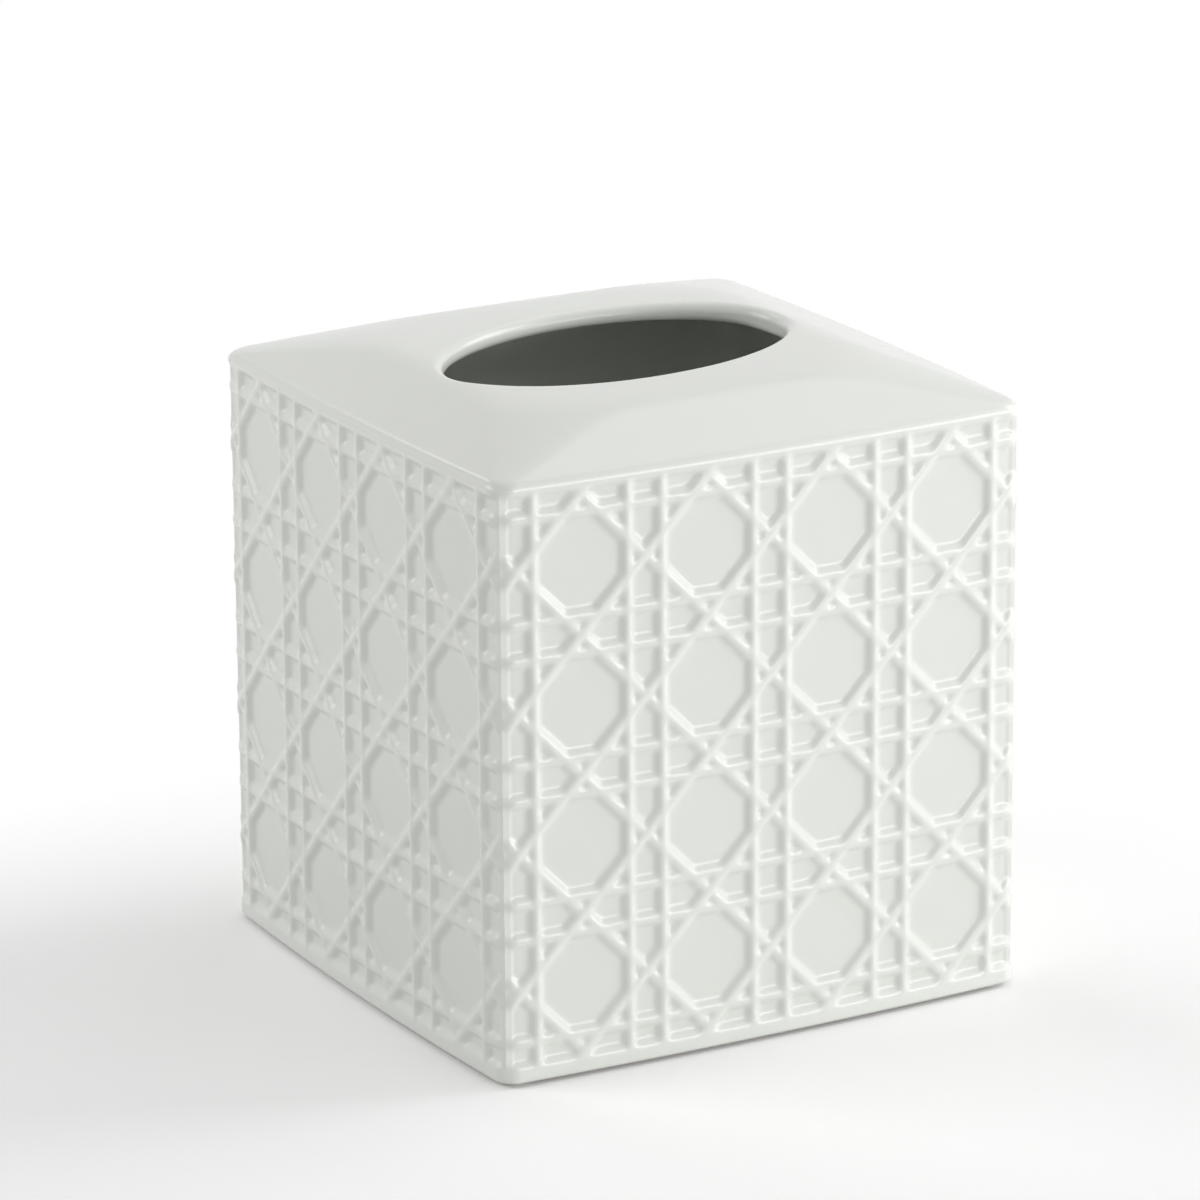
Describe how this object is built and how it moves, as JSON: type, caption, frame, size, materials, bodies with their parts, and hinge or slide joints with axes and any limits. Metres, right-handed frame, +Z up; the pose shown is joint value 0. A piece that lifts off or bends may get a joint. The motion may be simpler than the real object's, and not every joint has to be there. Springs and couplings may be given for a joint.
{
  "type": "tissue box cover",
  "caption": "Glazed porcelain cube that drops over a cube tissue carton: open below, crowned top with an oval mouth, woven-cane relief on the walls, soft pads under the foot.",
  "frame": {"origin": "on the floor, under the middle of the cover", "axes": "+Z up, the front wall faces -Y, the long axis of the oval mouth lies about ten degrees off X, turned towards +Y"},
  "size_m": [0.1428, 0.1428, 0.1518],
  "materials": {
    "glazed_porcelain": "gloss glaze, unglazed ring under the foot",
    "pad_rubber": "matt, milky grey"
  },
  "bodies": {
    "root": {"cover_shell": "glazed_porcelain", "foot_pad_front_left": "pad_rubber", "foot_pad_front_right": "pad_rubber", "foot_pad_back_left": "pad_rubber", "foot_pad_back_right": "pad_rubber"}
  },
  "joints": []
}
